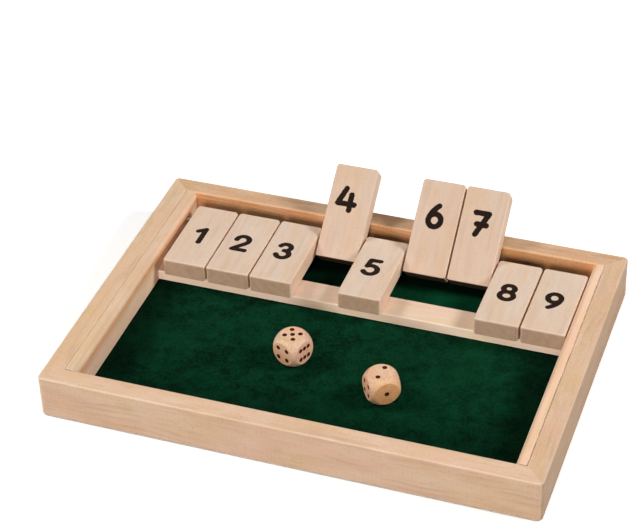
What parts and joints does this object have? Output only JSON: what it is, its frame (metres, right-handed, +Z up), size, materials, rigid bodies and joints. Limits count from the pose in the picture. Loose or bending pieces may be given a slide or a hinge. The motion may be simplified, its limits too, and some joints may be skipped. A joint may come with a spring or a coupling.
{
  "type": "shut the box game",
  "caption": "Open wooden dice-game tray with a green felt floor, flip-down numbered tiles on a steel rod and loose rounded dice.",
  "frame": {"origin": "on the table under the middle of the tray", "axes": "+X to the player's right, +Y from the player to the back rail, +Z up"},
  "size_m": [0.3, 0.2259, 0.0569],
  "materials": {
    "rail_wood": "satin",
    "cheek_wood": "satin",
    "plywood": "matt",
    "green_felt": "matt",
    "rod_steel": "bright drawn",
    "tile_wood": "satin",
    "dice_wood": "satin"
  },
  "bodies": {
    "tray": {"front_rail": "rail_wood", "back_rail": "rail_wood", "left_rail": "rail_wood", "right_rail": "rail_wood", "base_panel": "plywood", "felt_lining": "green_felt", "left_cheek": "cheek_wood", "right_cheek": "cheek_wood", "rest_ledge": "cheek_wood", "hinge_rod": "rod_steel"},
    "flap_1": {"tile_1": "tile_wood"},
    "flap_2": {"tile_2": "tile_wood"},
    "flap_3": {"tile_3": "tile_wood"},
    "flap_4": {"tile_4": "tile_wood"},
    "flap_5": {"tile_5": "tile_wood"},
    "flap_6": {"tile_6": "tile_wood"},
    "flap_7": {"tile_7": "tile_wood"},
    "flap_8": {"tile_8": "tile_wood"},
    "flap_9": {"tile_9": "tile_wood"},
    "loose_die_1": {"die_1": "dice_wood"},
    "loose_die_2": {"die_2": "dice_wood"}
  },
  "joints": [
    {"name": "flip_1", "type": "hinge", "parent": "tray", "child": "flap_1", "pos_m": [-0.11197, 0.0756, 0.0193], "axis": [-1, 0, 0], "range_deg": [0, 139.96]},
    {"name": "flip_2", "type": "hinge", "parent": "tray", "child": "flap_2", "pos_m": [-0.0834, 0.0756, 0.0193], "axis": [-1, 0, 0], "range_deg": [0, 139.96]},
    {"name": "flip_3", "type": "hinge", "parent": "tray", "child": "flap_3", "pos_m": [-0.05483, 0.0756, 0.0193], "axis": [-1, 0, 0], "range_deg": [0, 139.96]},
    {"name": "flip_4", "type": "hinge", "parent": "tray", "child": "flap_4", "pos_m": [-0.02627, 0.0756, 0.0193], "axis": [-1, 0, 0], "range_deg": [-139.96, 0]},
    {"name": "flip_5", "type": "hinge", "parent": "tray", "child": "flap_5", "pos_m": [0.0023, 0.0756, 0.0193], "axis": [-1, 0, 0], "range_deg": [0, 139.96]},
    {"name": "flip_6", "type": "hinge", "parent": "tray", "child": "flap_6", "pos_m": [0.03087, 0.0756, 0.0193], "axis": [-1, 0, 0], "range_deg": [-139.96, 0]},
    {"name": "flip_7", "type": "hinge", "parent": "tray", "child": "flap_7", "pos_m": [0.05943, 0.0756, 0.0193], "axis": [-1, 0, 0], "range_deg": [-139.96, 0]},
    {"name": "flip_8", "type": "hinge", "parent": "tray", "child": "flap_8", "pos_m": [0.088, 0.0756, 0.0193], "axis": [-1, 0, 0], "range_deg": [0, 139.96]},
    {"name": "flip_9", "type": "hinge", "parent": "tray", "child": "flap_9", "pos_m": [0.11657, 0.0756, 0.0193], "axis": [-1, 0, 0], "range_deg": [0, 139.96]},
    {"name": "lift_die_1", "type": "slide", "parent": "tray", "child": "loose_die_1", "axis": [0, 0, 1], "range_m": [0, 0.04]},
    {"name": "lift_die_2", "type": "slide", "parent": "tray", "child": "loose_die_2", "axis": [0, 0, 1], "range_m": [0, 0.04]}
  ]
}
